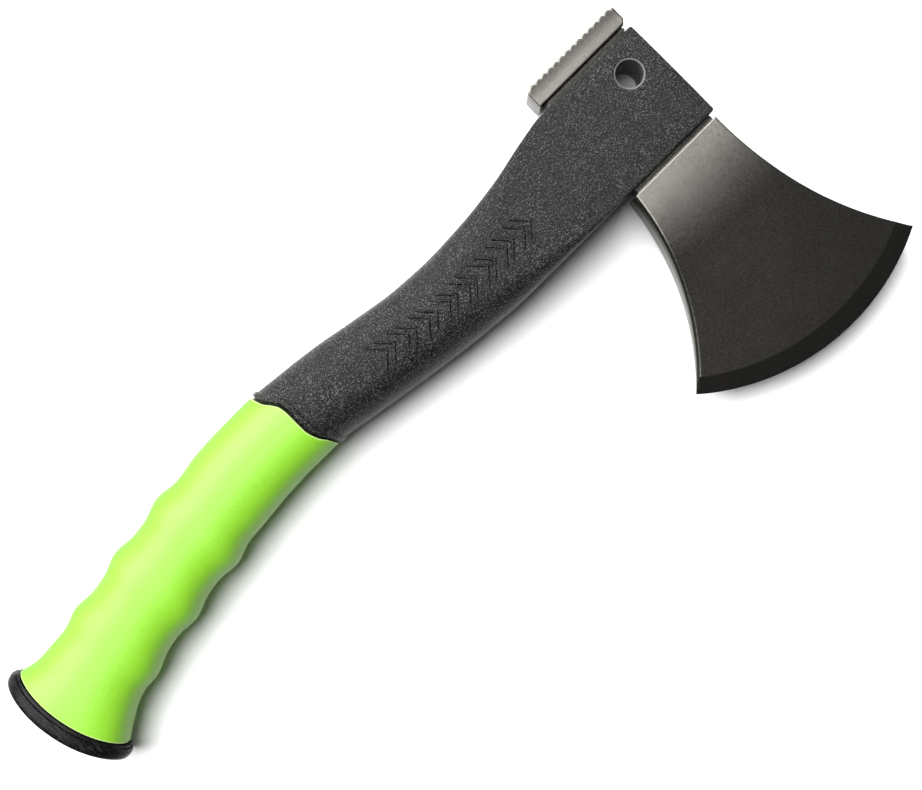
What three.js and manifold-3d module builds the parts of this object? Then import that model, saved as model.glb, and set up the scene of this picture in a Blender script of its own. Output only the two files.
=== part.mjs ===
// A fixed-head camp hatchet lying on its side, in millimetres.
// +X runs along the handle to the top of the head, +Y points to the hammer poll,
// -Y to the cutting edge and +Z is up. The shapes are drawn about the mid-plane z = 0
// with x = 0 at the top of the head; the finished group is moved last, so that its
// origin is under the middle of its bounding box.
//
// head         one steel forging: blade, necks, web through the handle, and poll
// handle_core  nylon moulded round the web, hollow at the butt
// grip_sleeve  soft over-moulded grip
// butt_cap     flanged plug that closes the hollow end

import * as THREE from 'three';
import { mergeVertices } from 'three/addons/utils/BufferGeometryUtils.js';
import Module from 'manifold-3d';

const wasm = await Module();
wasm.setup();

// ---------------------------------------------------------------- driving dimensions

const GAP = 0.3; // clearance kept between moulded pieces that touch
const REACH = 60; // half size of cutting bodies, larger than any section

// Head: plan positions are x, y; half thicknesses are along z.
const ROOT_Y = -19.6; // straight shoulder at the top of the blade
const ROOT_TOE_X = -2.8;
const ROOT_HEEL_X = -37.5;
const TOE_TIP = [18.0, -85.8];
const HEEL_TIP = [-65.4, -75.4];
const TOE_SIDE_BOW = 5.6; // how far each long side curves in from its chord
const HEEL_SIDE_BOW = -5.6;
const EDGE_BOW = 12.8; // how far the cutting edge bulges from its chord
const ROOT_HALF = 8.6;
const BEVEL_HALF = 2.3; // half thickness where the edge bevel starts
const EDGE_HALF = 0.15;
const CHEEK_END = 0.36; // shares of the blade's height, from root to edge: the faces round
const BEVEL_START = 0.92; // over above CHEEK_END and taper straight from there to the bevel
const BLADE_ROWS = 12;
const BLADE_COLUMNS = 14;

const WEB_TOP_X = -3.4;
const WEB_LOW_X = -35.2;
const WEB_HALF = 5.5;
const COLLAR_Y = 18.1; // the shoulders beside blade and poll start here
const COLLAR_HALF = 7.6;
const OVERLAP = 1; // the web and the shoulders run this far into blade and poll
const LOCK_HOLE_RADIUS = 4.2;
const LOCK_HOLES = [[-27, 7], [-21, -9]];
const HANG_HOLE = [-12.8, 7.6];
const HANG_HOLE_RADIUS = 4.3;
const HANG_LINER_WALL = 1.9;
const HOLE_SIDES = 24;

const POLL_TOP_X = -1.6;
const POLL_LOW_X = -38.2;
const POLL_INNER_Y = 19.6;
const POLL_FACE_Y = 26.4;
const POLL_HALF = 9.2;
const POLL_CORNER = 1.3;
const TEETH = 14;
const TOOTH_DEPTH = 0.65;

// Handle: the two long edges in plan, as x, y stations joined by a smooth curve.
const HANDLE_TOP_X = -2.2;
const POLL_SIDE = [
  [0, 17.7], [-40, 17.7], [-50, 16.3], [-65, 13.4], [-80, 11.9], [-93, 11.5], [-108, 12.3],
  [-123, 14.6], [-138, 17.3], [-152, 19.0], [-166, 20.2], [-178, 20.1], [-192, 19.1],
  [-205, 17.9], [-225, 15.2], [-245, 11.9], [-256, 10.1], [-264, 9.5], [-271, 10.9], [-282, 14.5],
];
const BLADE_SIDE = [
  [0, -17.8], [-80, -17.8], [-94, -16.9], [-108, -15.4], [-123, -13.2], [-138, -10.8],
  [-153, -8.6], [-166, -8.5], [-180, -9.3], [-200, -11.9], [-221, -14.9], [-242, -18.7],
  [-252, -21.6], [-258, -24.5], [-263, -27.9], [-272, -34.5],
];
// Half thickness of the handle along its length.
const HALF_THICKNESS = [
  [0, 12.7], [-58, 12.7], [-80, 12.2], [-105, 11.6], [-130, 11.3], [-155, 11.6], [-175, 12.0],
  [-200, 12.0], [-225, 11.6], [-248, 11.3], [-265, 11.9], [-282, 12.5],
];
const EYE_CORNER = 0.9; // edge radius of the eye
const OVAL_FROM_X = -44; // the section is a rounded rectangle above here
const OVAL_TO_X = -108; // and an oval below here
const OVAL_SHARE = 0.96; // share of each half axis that an oval section's corners take up
const CORNER_POWER = 2.5; // 2 makes the oval elliptical, and more makes it squarer
const CORNER_STEPS = 4;

const RIDGE_PITCH = 20.8; // finger ridges of the grip
const RIDGE_HEIGHT = 0.75;
const RIDGE_CREST = 1.6; // above 1 makes the crests narrower than the grooves
const RIDGE_POLL_X = -204; // first ridge on each side
const RIDGE_BLADE_X = -201;
const RIDGE_FROM_X = -192;
const RIDGE_TO_X = -252;
const RIDGE_FADE = 8;

const SLEEVE_WALL = 2.6;
const CORE_RUN = { from: HANDLE_TOP_X, to: -175, steps: 26 }; // sections before cutting
const SEAT_RUN = { from: -150, to: -278, steps: 12 };
const SKIN_RUN = { from: -145, to: -278, steps: 42 };
const CAVITY_RUN = { from: -140, to: -280, steps: 12 };
const SLANT_FROM_U = -235; // sections turn square to the butt below here
const SLANT_TO_U = -266.6;
const SLANT = 3.9; // x lead of a turned section at each edge
// Line between core and grip in plan, from the poll side to the blade side.
const GRIP_LINE = [
  [-162.6, 40], [-162.2, 22], [-160.5, 16], [-158.3, 13], [-157.2, 11], [-156.8, 8],
  [-156.8, 1], [-155.6, -3.5], [-153.8, -6.3], [-153, -8.5], [-152.6, -12], [-152.4, -40],
];
const GRIP_LINE_STEPS = 26;

// Butt: the end face of core and grip is part of an upright cylinder. The face crosses the
// handle's axis at BUTT_FACE; BUTT_TURN is the axis's angle from +X towards +Y.
const BUTT_FACE = [-270.2, -9.4];
const BUTT_TURN = 0.197;
const BUTT_RADIUS = 56;
const BUTT_SIDES = 120;
const HOLLOW_TURN = 0.162; // the hollow follows the handle's bend more than the butt does
const HOLLOW_DEPTH = 72;
const HOLLOW_HALF_WIDTH = 7.6;
const HOLLOW_HALF_HEIGHT = 5;

const CAP_HALF_WIDTH = 21.9;
const CAP_HALF_HEIGHT = 12.7;
const CAP_THICKNESS = 5;
const CAP_INNER_RADIUS = 60; // curve of the flange's two faces in plan
const CAP_OUTER_RADIUS = 57;
const CAP_BEAD = 2.6; // rounding of the flange's rim
const CAP_DISH = 0.15; // share of the thickness that the outer face is dished
const CAP_SIDES = 32;
const CAP_RIM_STEPS = 6;
const CAP_FACE_STEPS = 5;
const SPIGOT_LENGTH = 14;

const STEEL = { color: 0x77736c, roughness: 0.38, metalness: 1 };
const NYLON = { color: 0x3a3a3a, roughness: 0.62, metalness: 0 };
const SOFT_GREEN = { color: 0xa6f23c, roughness: 0.6, metalness: 0 };
const SOFT_BLACK = { color: 0x1e1e1e, roughness: 0.45, metalness: 0 };

// ------------------------------------------------------------------------- helpers

/** A smooth y(x) through stations listed with x going down (monotone cubic). */
function smooth(stations) {
  const slopes = stations.map((station, i) => {
    if (i === 0 || i === stations.length - 1) return 0;
    const before = (station[1] - stations[i - 1][1]) / (station[0] - stations[i - 1][0]);
    const after = (stations[i + 1][1] - station[1]) / (stations[i + 1][0] - station[0]);
    return before * after > 0 ? 2 * before * after / (before + after) : 0;
  });
  return (x) => {
    let i = 0;
    while (i < stations.length - 2 && x < stations[i + 1][0]) i += 1;
    const [x0, y0] = stations[i];
    const [x1, y1] = stations[i + 1];
    const span = x1 - x0;
    const t = THREE.MathUtils.clamp((x - x0) / span, 0, 1);
    return y0 + (y1 - y0) * t * t * (3 - 2 * t)
      + span * slopes[i] * t * (1 - t) ** 2
      - span * slopes[i + 1] * t * t * (1 - t);
  };
}

/** The point at share t of the circular arc from a to b that bulges sideways by bow. */
function arcPoint(a, b, bow, t) {
  const chord = Math.hypot(b[0] - a[0], b[1] - a[1]);
  const along = [(b[0] - a[0]) / chord, (b[1] - a[1]) / chord];
  const side = [along[1], -along[0]];
  if (Math.abs(bow) < 1e-3) return [a[0] + along[0] * chord * t, a[1] + along[1] * chord * t];
  const radius = (chord * chord / 4 + bow * bow) / (2 * bow);
  const half = 2 * Math.atan2(bow, chord / 2);
  const angle = half * (2 * t - 1);
  const run = chord / 2 + radius * Math.sin(angle);
  const rise = radius * (Math.cos(angle) - Math.cos(half));
  return [a[0] + along[0] * run + side[0] * rise, a[1] + along[1] * run + side[1] * rise];
}

/** A sine or cosine moved towards 1 or -1, which makes an ellipse squarer. */
function squarer(value) {
  return Math.sign(value) * Math.abs(value) ** (2 / CORNER_POWER);
}

/** A closed geometry from positions and triangles. */
function meshFrom(positions, triangles) {
  const geometry = new THREE.BufferGeometry();
  geometry.setAttribute('position', new THREE.Float32BufferAttribute(positions.flat(), 3));
  geometry.setIndex(triangles.flat());
  return geometry;
}

/** A closed body through rings of equal length, each turning right-handed about the way back. */
function loft(rings) {
  const count = rings[0].length;
  const positions = rings.flat();
  const triangles = [];
  for (let r = 0; r < rings.length - 1; r += 1) {
    for (let i = 0; i < count; i += 1) {
      const a = r * count + i;
      const b = r * count + (i + 1) % count;
      triangles.push([b, a, b + count], [b + count, a, a + count]);
    }
  }
  for (const r of [0, rings.length - 1]) {
    const middle = positions.length;
    positions.push([0, 1, 2].map((k) => rings[r].reduce((sum, p) => sum + p[k], 0) / count));
    for (let i = 0; i < count; i += 1) {
      const a = r * count + i;
      const b = r * count + (i + 1) % count;
      triangles.push(r === 0 ? [a, b, middle] : [b, a, middle]);
    }
  }
  return meshFrom(positions, triangles);
}

/** A closed plate, symmetric about z = 0; at(u, v) gives x, y and half thickness. */
function plate(columns, rowShares, at) {
  const rows = rowShares.length - 1;
  const columnShares = Array.from({ length: columns + 1 }, (_, i) => i / columns);
  const grid = rowShares.map((v) => columnShares.map((u) => at(u, v)));
  const upper = grid.flat().map(([x, y, half]) => [x, y, half]);
  const lower = grid.flat().map(([x, y, half]) => [x, y, -half]);
  const under = upper.length;
  const index = (row, column) => row * (columns + 1) + column;
  const triangles = [];
  const quad = (a, b, c, d) => triangles.push([a, b, c], [a, c, d]);
  for (let row = 0; row < rows; row += 1) {
    for (let column = 0; column < columns; column += 1) {
      const a = index(row, column);
      const b = index(row, column + 1);
      const c = index(row + 1, column + 1);
      const d = index(row + 1, column);
      quad(d, c, b, a);
      quad(a + under, b + under, c + under, d + under);
    }
    const heel = [index(row, 0), index(row + 1, 0)];
    const toe = [index(row, columns), index(row + 1, columns)];
    quad(heel[0], heel[0] + under, heel[1] + under, heel[1]);
    quad(toe[1], toe[1] + under, toe[0] + under, toe[0]);
  }
  for (let column = 0; column < columns; column += 1) {
    const root = [index(0, column), index(0, column + 1)];
    const edge = [index(rows, column), index(rows, column + 1)];
    quad(root[1], root[1] + under, root[0] + under, root[0]);
    quad(edge[0], edge[0] + under, edge[1] + under, edge[1]);
  }
  return meshFrom(upper.concat(lower), triangles);
}

/** A plan outline made upright, centred on z = 0. */
function upright(shape, half) {
  const geometry = new THREE.ExtrudeGeometry(shape, {
    depth: 2 * half, bevelEnabled: false, curveSegments: HOLE_SIDES,
  });
  return geometry.translate(0, 0, -half);
}

function drill([x, y], radius) {
  const geometry = new THREE.CylinderGeometry(radius, radius, 2 * REACH, HOLE_SIDES);
  return geometry.rotateX(Math.PI / 2).translate(x, y, 0);
}

/** The boolean library's solid for a closed geometry. */
function solid(geometry) {
  geometry.deleteAttribute('normal');
  geometry.deleteAttribute('uv');
  const merged = mergeVertices(geometry, 1e-5);
  return new wasm.Manifold(new wasm.Mesh({
    numProp: 3,
    vertProperties: new Float32Array(merged.attributes.position.array),
    triVerts: new Uint32Array(merged.index.array),
  }));
}

/** A named mesh from a finished solid. */
function piece(name, body, finish) {
  const data = body.getMesh();
  const geometry = new THREE.BufferGeometry();
  geometry.setAttribute('position', new THREE.Float32BufferAttribute(data.vertProperties, 3));
  geometry.setIndex(Array.from(data.triVerts));
  geometry.computeVertexNormals();
  const mesh = new THREE.Mesh(geometry, new THREE.MeshStandardMaterial(finish));
  mesh.name = name;
  return mesh;
}

// ---------------------------------------------------------------------------- head

/** Half thickness at share v of the way from the root to the edge. */
function bladeHalf(v) {
  const fall = (ROOT_HALF - BEVEL_HALF) / (BEVEL_START - CHEEK_END * 2 / 3);
  if (v < CHEEK_END) return ROOT_HALF - fall * v ** 3 / (3 * CHEEK_END ** 2);
  if (v < BEVEL_START) return ROOT_HALF - fall * (v - CHEEK_END * 2 / 3);
  return THREE.MathUtils.mapLinear(v, BEVEL_START, 1, BEVEL_HALF, EDGE_HALF);
}

function bladeBody() {
  const shares = Array.from({ length: BLADE_ROWS }, (_, i) => BEVEL_START * i / (BLADE_ROWS - 1));
  shares.push(1);
  const heelRoot = [ROOT_HEEL_X, ROOT_Y];
  const toeRoot = [ROOT_TOE_X, ROOT_Y];
  return solid(plate(BLADE_COLUMNS, shares, (u, v) => {
    const heel = arcPoint(heelRoot, HEEL_TIP, HEEL_SIDE_BOW, v);
    const toe = arcPoint(toeRoot, TOE_TIP, TOE_SIDE_BOW, v);
    const [x, y] = arcPoint(heel, toe, EDGE_BOW * v * v, u);
    return [x, y, bladeHalf(v)];
  }));
}

/** Plan of the web; grow widens it and shrinks its holes by the same amount. */
function webPlan(grow, reach) {
  const plan = new THREE.Shape();
  plan.moveTo(WEB_LOW_X - grow, -reach);
  plan.lineTo(WEB_TOP_X + grow, -reach);
  plan.lineTo(WEB_TOP_X + grow, reach);
  plan.lineTo(WEB_LOW_X - grow, reach);
  plan.closePath();
  const holes = LOCK_HOLES.map((centre) => [centre, LOCK_HOLE_RADIUS]);
  holes.push([HANG_HOLE, HANG_HOLE_RADIUS + HANG_LINER_WALL + GAP]);
  for (const [[x, y], radius] of holes) {
    plan.holes.push(new THREE.Path().absarc(x, y, radius - grow, 0, 2 * Math.PI, true));
  }
  return plan;
}

function pollBody() {
  const pitch = (POLL_TOP_X - POLL_LOW_X - 2 * POLL_CORNER) / TEETH;
  const valley = POLL_FACE_Y - TOOTH_DEPTH;
  const plan = new THREE.Shape();
  plan.moveTo(POLL_LOW_X, POLL_INNER_Y);
  plan.lineTo(POLL_TOP_X - POLL_CORNER, POLL_INNER_Y);
  plan.lineTo(POLL_TOP_X, POLL_INNER_Y + POLL_CORNER);
  plan.lineTo(POLL_TOP_X, valley);
  for (let tooth = 0; tooth < TEETH; tooth += 1) {
    const x = POLL_TOP_X - POLL_CORNER - pitch * tooth;
    plan.lineTo(x, valley);
    plan.lineTo(x - pitch / 2, POLL_FACE_Y);
  }
  plan.lineTo(POLL_LOW_X + POLL_CORNER, valley);
  plan.lineTo(POLL_LOW_X, valley - POLL_CORNER);
  plan.closePath();
  return solid(upright(plan, POLL_HALF));
}

/** A shoulder of the head beside the handle, between two distances from the handle's axis. */
function collar(low, high) {
  const block = new THREE.BoxGeometry(WEB_TOP_X - WEB_LOW_X, high - low, 2 * COLLAR_HALF);
  return solid(block.translate((WEB_TOP_X + WEB_LOW_X) / 2, (low + high) / 2, 0));
}

function headBody() {
  return bladeBody()
    .add(solid(upright(webPlan(0, POLL_INNER_Y + OVERLAP), WEB_HALF)))
    .add(collar(ROOT_Y - OVERLAP, -COLLAR_Y))
    .add(collar(COLLAR_Y, POLL_INNER_Y + OVERLAP))
    .add(pollBody());
}

// -------------------------------------------------------------------------- handle

const pollSide = smooth(POLL_SIDE);
const bladeSide = smooth(BLADE_SIDE);
const halfThickness = smooth(HALF_THICKNESS);

/** Height of the finger ridges at x, for a run of ridges whose first is at start. */
function ridge(x, start) {
  const rise = THREE.MathUtils.smoothstep(RIDGE_FROM_X - x, -RIDGE_FADE, RIDGE_FADE);
  const fall = THREE.MathUtils.smoothstep(x - RIDGE_TO_X, -RIDGE_FADE, RIDGE_FADE);
  const wave = (1 + Math.cos(2 * Math.PI * (x - start) / RIDGE_PITCH)) / 2;
  return RIDGE_HEIGHT * rise * fall * (2 * wave ** RIDGE_CREST - 1);
}

/** One section of the handle at u along its length, inset from its outer surface. */
function handleRing(u, inset, ridged) {
  const turn = SLANT * THREE.MathUtils.smoothstep(SLANT_FROM_U - u, 0, SLANT_FROM_U - SLANT_TO_U);
  const pollX = u - turn;
  const bladeX = u + turn;
  const relief = ridged ? 1 : 0;
  const top = [pollX, pollSide(pollX) + relief * ridge(pollX, RIDGE_POLL_X)];
  const low = [bladeX, bladeSide(bladeX) - relief * ridge(bladeX, RIDGE_BLADE_X)];
  const middle = [(top[0] + low[0]) / 2, (top[1] + low[1]) / 2];
  const outerHalf = Math.hypot(top[0] - low[0], top[1] - low[1]) / 2;
  const across = [(top[0] - low[0]) / (2 * outerHalf), (top[1] - low[1]) / (2 * outerHalf)];
  const half = outerHalf - inset;
  const rise = halfThickness(u) - inset;
  const oval = THREE.MathUtils.smoothstep(OVAL_FROM_X - u, 0, OVAL_FROM_X - OVAL_TO_X);
  const cornerWide = THREE.MathUtils.lerp(EYE_CORNER, OVAL_SHARE * half, oval);
  const cornerHigh = THREE.MathUtils.lerp(EYE_CORNER, OVAL_SHARE * rise, oval);
  const ring = [];
  const place = (wide, high) => {
    ring.push([middle[0] + across[0] * wide, middle[1] + across[1] * wide, high]);
  };
  for (let quarter = 0; quarter < 4; quarter += 1) {
    const base = quarter * Math.PI / 2;
    const signs = [[1, 1], [-1, 1], [-1, -1], [1, -1]][quarter];
    place(half * Math.cos(base), rise * Math.sin(base));
    for (let step = 0; step <= CORNER_STEPS; step += 1) {
      const angle = base + Math.PI / 2 * step / CORNER_STEPS;
      place(
        signs[0] * (half - cornerWide) + cornerWide * squarer(Math.cos(angle)),
        signs[1] * (rise - cornerHigh) + cornerHigh * squarer(Math.sin(angle)),
      );
    }
  }
  return ring;
}

/** The handle's body over a run of sections, inset from its outer surface. */
function handleBody({ from, to, steps }, inset, ridged) {
  const rings = Array.from({ length: steps + 1 }, (_, i) => {
    return handleRing(THREE.MathUtils.lerp(from, to, i / steps), inset, ridged);
  });
  return solid(loft(rings));
}

/** Everything on the head's side of the grip line, moved along by shift. */
function headSide(shift) {
  const line = new THREE.SplineCurve(GRIP_LINE.map(([x, y]) => new THREE.Vector2(x + shift, y)));
  const plan = new THREE.Shape(line.getPoints(GRIP_LINE_STEPS));
  plan.lineTo(REACH, GRIP_LINE.at(-1)[1]);
  plan.lineTo(REACH, GRIP_LINE[0][1]);
  plan.closePath();
  return solid(upright(plan, REACH));
}

/** Everything past the butt's end face. */
function pastButt() {
  const x = BUTT_FACE[0] + BUTT_RADIUS * Math.cos(BUTT_TURN);
  const y = BUTT_FACE[1] + BUTT_RADIUS * Math.sin(BUTT_TURN);
  const block = solid(new THREE.BoxGeometry(REACH, 2 * REACH, 2 * REACH)
    .translate(x - BUTT_RADIUS, y, 0));
  const round = new THREE.CylinderGeometry(BUTT_RADIUS, BUTT_RADIUS, 4 * REACH, BUTT_SIDES);
  return block.subtract(solid(round.rotateX(Math.PI / 2).translate(x, y, 0)));
}

/** An oval bar on the hollow's axis, grown by grow, between two distances from its mouth. */
function hollowBar(grow, from, to) {
  const oval = new THREE.Shape();
  oval.absellipse(0, 0, HOLLOW_HALF_HEIGHT + grow, HOLLOW_HALF_WIDTH + grow, 0, 2 * Math.PI);
  const bar = new THREE.ExtrudeGeometry(oval, {
    depth: to - from, bevelEnabled: false, curveSegments: HOLE_SIDES / 2,
  });
  bar.translate(0, 0, from).rotateY(Math.PI / 2).rotateZ(HOLLOW_TURN);
  return solid(bar.translate(BUTT_FACE[0], BUTT_FACE[1], 0));
}

function coreBody() {
  const exposed = handleBody(CORE_RUN, 0, false).intersect(headSide(0));
  const seat = handleBody(SEAT_RUN, SLEEVE_WALL, false).subtract(pastButt());
  const pocket = solid(upright(webPlan(GAP, REACH), WEB_HALF + GAP));
  return exposed
    .add(seat)
    .subtract(pocket)
    .subtract(solid(drill(HANG_HOLE, HANG_HOLE_RADIUS)))
    .subtract(hollowBar(0, -REACH / 2, HOLLOW_DEPTH));
}

function sleeveBody() {
  const skin = handleBody(SKIN_RUN, 0, true);
  const cavity = handleBody(CAVITY_RUN, SLEEVE_WALL - GAP, false);
  return skin.subtract(cavity).subtract(headSide(-GAP)).subtract(pastButt());
}

// ------------------------------------------------------------------------ butt cap

/**
 * Half a section of the flange from the middle of its inner face, round the rim, to the
 * middle of its outer face: share of the way to the rim, and of the way outwards.
 */
function capProfile() {
  const flat = 1 - CAP_BEAD / CAP_HALF_WIDTH;
  const dished = flat - (1 - flat) / 2;
  const middle = 0.02;
  const profile = [];
  for (let step = 0; step <= CAP_FACE_STEPS; step += 1) {
    profile.push([THREE.MathUtils.lerp(middle, flat, step / CAP_FACE_STEPS), 0]);
  }
  for (let step = 1; step < CAP_RIM_STEPS; step += 1) {
    const angle = Math.PI * step / CAP_RIM_STEPS;
    profile.push([flat + (1 - flat) * Math.sin(angle), (1 - Math.cos(angle)) / 2]);
  }
  profile.push([flat, 1]);
  for (let step = 0; step <= CAP_FACE_STEPS; step += 1) {
    profile.push([THREE.MathUtils.lerp(dished, middle, step / CAP_FACE_STEPS), 1 - CAP_DISH]);
  }
  return profile;
}

/** The flange as oval rings bent to the butt's curve, with the spigot that plugs the hollow. */
function capBody() {
  const along = [Math.cos(BUTT_TURN), Math.sin(BUTT_TURN)];
  const across = [-along[1], along[0]];
  const rings = capProfile().map(([share, out]) => Array.from({ length: CAP_SIDES }, (_, i) => {
    const angle = 2 * Math.PI * i / CAP_SIDES;
    const wide = share * CAP_HALF_WIDTH * squarer(Math.cos(angle));
    const radius = THREE.MathUtils.lerp(CAP_INNER_RADIUS, CAP_OUTER_RADIUS, out);
    const bend = radius - Math.sqrt(radius ** 2 - wide ** 2);
    const depth = bend - GAP - CAP_THICKNESS * out;
    return [
      BUTT_FACE[0] + along[0] * depth + across[0] * wide,
      BUTT_FACE[1] + along[1] * depth + across[1] * wide,
      share * CAP_HALF_HEIGHT * squarer(Math.sin(angle)),
    ];
  }));
  return solid(loft(rings)).add(hollowBar(-GAP, -CAP_THICKNESS / 2, SPIGOT_LENGTH));
}

// ------------------------------------------------------------------------ assembly

const hatchet = new THREE.Group();
hatchet.name = 'hatchet';
hatchet.add(piece('head', headBody(), STEEL));
hatchet.add(piece('handle_core', coreBody(), NYLON));
hatchet.add(piece('grip_sleeve', sleeveBody(), SOFT_GREEN));
hatchet.add(piece('butt_cap', capBody(), SOFT_BLACK));

const bounds = new THREE.Box3().setFromObject(hatchet);
hatchet.position.set(
  -(bounds.min.x + bounds.max.x) / 2,
  -(bounds.min.y + bounds.max.y) / 2,
  -bounds.min.z,
);

export default hatchet;
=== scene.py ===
"""A camp hatchet lying on a white table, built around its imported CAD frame.

Shapes are worked out in millimetres in the hatchet's own drawing frame: x = 0 at the top of
the head, +Y towards the poll, z = 0 on the mid-plane. ORIGIN and MM turn them into the frame.
"""

import math
from functools import lru_cache

import bmesh
import bpy
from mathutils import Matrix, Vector


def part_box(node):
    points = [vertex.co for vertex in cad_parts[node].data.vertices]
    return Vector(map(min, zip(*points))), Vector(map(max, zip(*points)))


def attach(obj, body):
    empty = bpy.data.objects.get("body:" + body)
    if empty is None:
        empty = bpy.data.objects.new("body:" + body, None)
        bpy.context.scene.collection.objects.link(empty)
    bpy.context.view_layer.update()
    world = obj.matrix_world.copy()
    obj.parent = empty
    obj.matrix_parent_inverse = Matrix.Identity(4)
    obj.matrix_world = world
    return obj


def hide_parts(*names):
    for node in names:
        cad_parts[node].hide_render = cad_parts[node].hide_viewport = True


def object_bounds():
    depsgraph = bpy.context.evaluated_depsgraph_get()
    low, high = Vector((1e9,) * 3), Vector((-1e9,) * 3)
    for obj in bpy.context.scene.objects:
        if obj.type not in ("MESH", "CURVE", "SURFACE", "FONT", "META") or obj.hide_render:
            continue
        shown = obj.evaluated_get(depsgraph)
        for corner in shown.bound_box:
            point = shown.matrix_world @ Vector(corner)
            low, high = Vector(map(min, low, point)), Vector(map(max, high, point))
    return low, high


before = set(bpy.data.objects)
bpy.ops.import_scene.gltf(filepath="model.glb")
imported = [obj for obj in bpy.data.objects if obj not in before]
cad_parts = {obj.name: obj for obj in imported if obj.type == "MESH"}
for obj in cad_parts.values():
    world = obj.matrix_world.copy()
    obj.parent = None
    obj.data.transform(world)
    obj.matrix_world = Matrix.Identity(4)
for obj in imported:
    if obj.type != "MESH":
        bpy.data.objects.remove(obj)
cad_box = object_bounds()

# ---------------------------------------------------------------- driving dimensions (mm)

MM = 0.001
GAP = 0.3
HANDLE_TOP_X = -2.2
POLL_FACE_Y = 26.4
core_low, core_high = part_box("handle_core")
_, head_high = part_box("head")
ORIGIN = Vector((
    core_high.x - HANDLE_TOP_X * MM,
    head_high.y - POLL_FACE_Y * MM,
    (core_low.z + core_high.z) / 2,
))

# Head: plan positions are x, y; half thicknesses are along z.
ROOT_Y = -19.6
HEEL_ROOT = (-37.5, ROOT_Y)
TOE_ROOT = (-2.8, ROOT_Y)
TOE_TIP = (18.0, -85.8)
HEEL_TIP = (-65.4, -75.4)
TOE_SIDE_BOW = 5.6
HEEL_SIDE_BOW = -5.6
EDGE_BOW = 12.8
BLADE_HEIGHT = 61.0  # from the root to the tips
ROOT_HALF = 8.6
BEVEL_HALF = 2.3
EDGE_HALF = 0.04
# Shares of the blade's height: the cheek rounds over down to the first, and the edge bevel
# starts at the second.
CHEEK_END = 0.36
BEVEL_START = 0.92
ROOT_ROUND = 0.12
HEEL_CHAMFER = 0.9
TOE_CHAMFER = 0.3
CHAMFER_SHARE = 0.5  # most of the half thickness that one chamfer takes
CHAMFER_POWER = 1.3  # 1 makes the chamfers flat, and more makes them hollow

WEB_TOP_X = -3.4
WEB_LOW_X = -35.2
WEB_HALF = 5.5
WEB_BITE = 1  # how far the web runs past the blade's root and the poll's inner side
SLOT_REACH = 40  # half the length of the slot's cutter, which clears the handle's width
CUT_PAST = 5  # how far an upright cutter runs past what it cuts
# Ribs across the web beside the handle: y, half thickness there, on each side.
POLL_RIB = ((18.35, 7.35), (19.15, 7.45))
BLADE_RIB = ((-19.2, 5.95), (-18.35, 6.1))
LOCK_HOLE_RADIUS = 4.2
LOCK_HOLES = ((-27, 7), (-21, -9))
HANG_HOLE = (-12.8, 7.6)
HANG_HOLE_RADIUS = 4.3
HANG_HOLE_RIM = (1.1, 0.5)  # width and depth of its rounded rims
HANG_RIM_TURNS = (0, 12, 24, 36, 48, 60, 72)  # degrees round the rim
HANG_RIM_RUNOUT = (0.5, 0.1)  # how far the cutter flares past the rim, outwards and up
HANG_LINER_WALL = 1.9

POLL_TOP_X = -1.6
POLL_LOW_X = -38.2
POLL_INNER_Y = 19.6
POLL_HALF = 9.2
POLL_CORNER = 1.3
POLL_ROUND = 0.4
POLL_TOP_ROUND = 0.4
POLL_FLARE_Y = 22  # its sides curve outwards past here
POLL_FLARE = 0.007
POLL_TAPER = 0.034  # rise of its sides per mm from the neck outwards
TEETH = 14
TOOTH_DEPTH = 0.65

# Handle: its two long edges in plan, and its half thickness, as stations with x going down.
POLL_SIDE = (
    (0, 17.7), (-40, 17.7), (-50, 16.3), (-65, 13.4), (-80, 11.9), (-93, 11.5), (-108, 12.3),
    (-123, 14.6), (-138, 17.3), (-152, 19.0), (-166, 20.2), (-178, 20.1), (-192, 19.1),
    (-205, 17.9), (-225, 15.2), (-245, 11.9), (-256, 10.1), (-264, 9.5), (-271, 10.9),
    (-282, 14.5),
)
BLADE_SIDE = (
    (0, -17.8), (-80, -17.8), (-94, -16.9), (-108, -15.4), (-123, -13.2), (-138, -10.8),
    (-153, -8.6), (-166, -8.5), (-180, -9.3), (-200, -11.9), (-221, -14.9), (-242, -18.7),
    (-252, -21.6), (-258, -24.5), (-263, -27.9), (-272, -34.5),
)
HALF_THICKNESS = (
    (0, 12.7), (-58, 12.7), (-80, 12.2), (-105, 11.6), (-130, 11.3), (-155, 11.6),
    (-175, 12.0), (-200, 12.0), (-225, 11.6), (-248, 11.3), (-265, 11.9), (-282, 12.5),
)
EYE_CORNER = 0.9  # edge radius of the eye
LEAST_CORNER = 0.3  # edge radius that surfaces inside the eye keep
END_ROUND = 0.7  # edge radius of its top end
OVAL_FROM_X = -44
OVAL_TO_X = -108
OVAL_SHARE = 0.96  # share of a full oval's corners where the section is roundest
CORNER_POWER = 2.5  # 2 makes the oval elliptical, and more makes it squarer
CROWN = 0.045  # share of its thickness that the handle loses towards its long edges

RIDGE_PITCH = 20.8
RIDGE_HEIGHT = 0.75
RIDGE_CREST = 1.6  # above 1 makes the crests narrower than the grooves
RIDGE_POLL_X = -204
RIDGE_BLADE_X = -201
RIDGE_FROM_X = -192
RIDGE_TO_X = -252
RIDGE_FADE = 8

SLEEVE_WALL = 2.6
SLANT_FROM_U = -235
SLANT_TO_U = -266.6
SLANT = 3.9
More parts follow.
